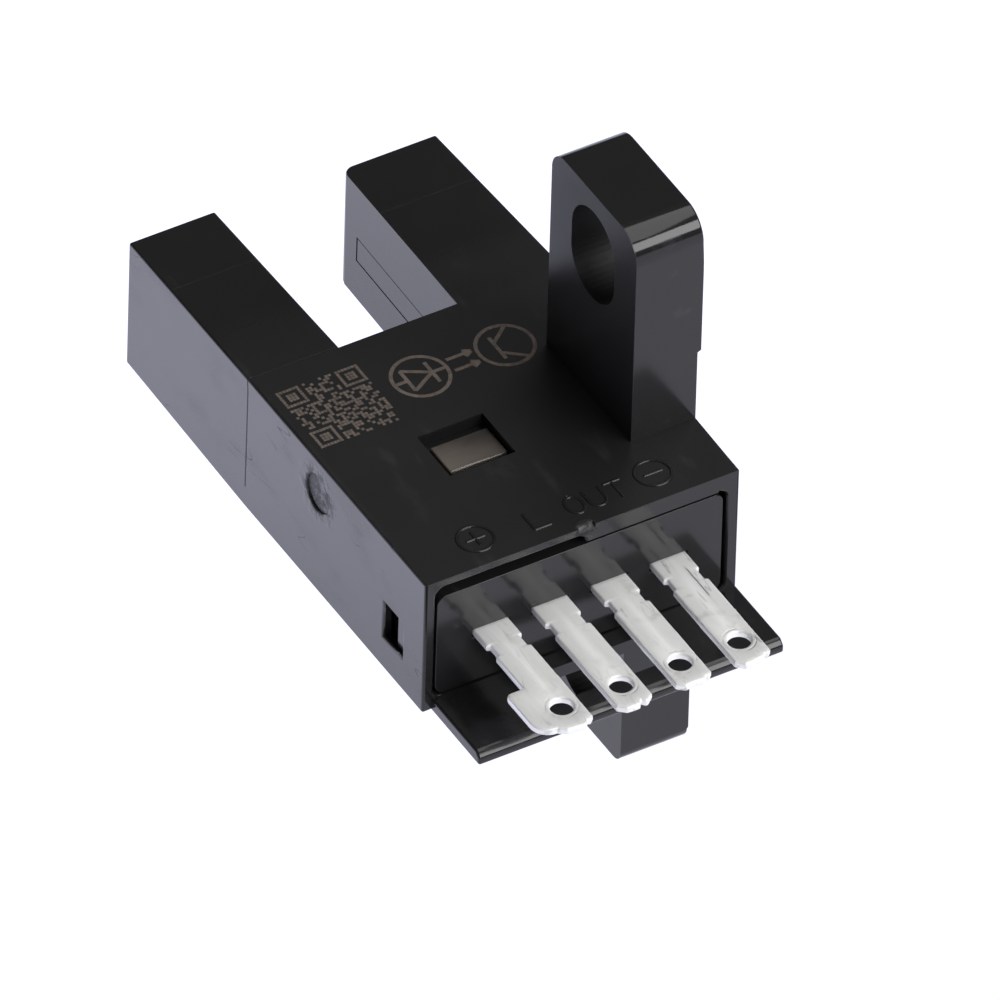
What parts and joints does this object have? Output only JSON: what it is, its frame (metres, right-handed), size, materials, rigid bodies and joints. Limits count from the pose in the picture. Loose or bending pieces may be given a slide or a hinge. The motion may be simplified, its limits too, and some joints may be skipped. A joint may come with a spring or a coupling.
{
  "type": "slotted optical switch",
  "caption": "Black forked optical switch: a light beam crosses the slot between its arms, with flat terminals at one end and ears for mounting on edge.",
  "frame": {"origin": "on the plane of the mounting pads, midway between the two mounting holes", "axes": "+X out of the mounting pads, +Y from the terminals to the arm tips, +Z along the line of the mounting holes, up in the picture"},
  "size_m": [0.0135, 0.0282, 0.0256],
  "materials": {
    "case_plastic": "satin",
    "base_plastic": "satin",
    "tin": "matt tinned",
    "indicator_plastic": "gloss",
    "filter_plastic": "gloss",
    "emitter_epoxy": "gloss",
    "detector_epoxy": "matt",
    "board": "gloss",
    "ceramic": "matt",
    "solder": "bright"
  },
  "bodies": {
    "root": {"case": "case_plastic", "terminal_base": "base_plastic", "terminal_1": "tin", "terminal_2": "tin", "terminal_3": "tin", "terminal_4": "tin", "indicator_window": "indicator_plastic", "emitter_window": "filter_plastic", "detector_window": "filter_plastic", "emitter": "emitter_epoxy", "emitter_leads": "tin", "detector": "detector_epoxy", "detector_leads": "tin", "circuit_board": "board", "indicator_led": "indicator_plastic", "output_transistor": "detector_epoxy", "emitter_resistor": "detector_epoxy", "indicator_resistor": "detector_epoxy", "bypass_capacitor": "ceramic", "solder_joints": "solder"}
  },
  "joints": []
}
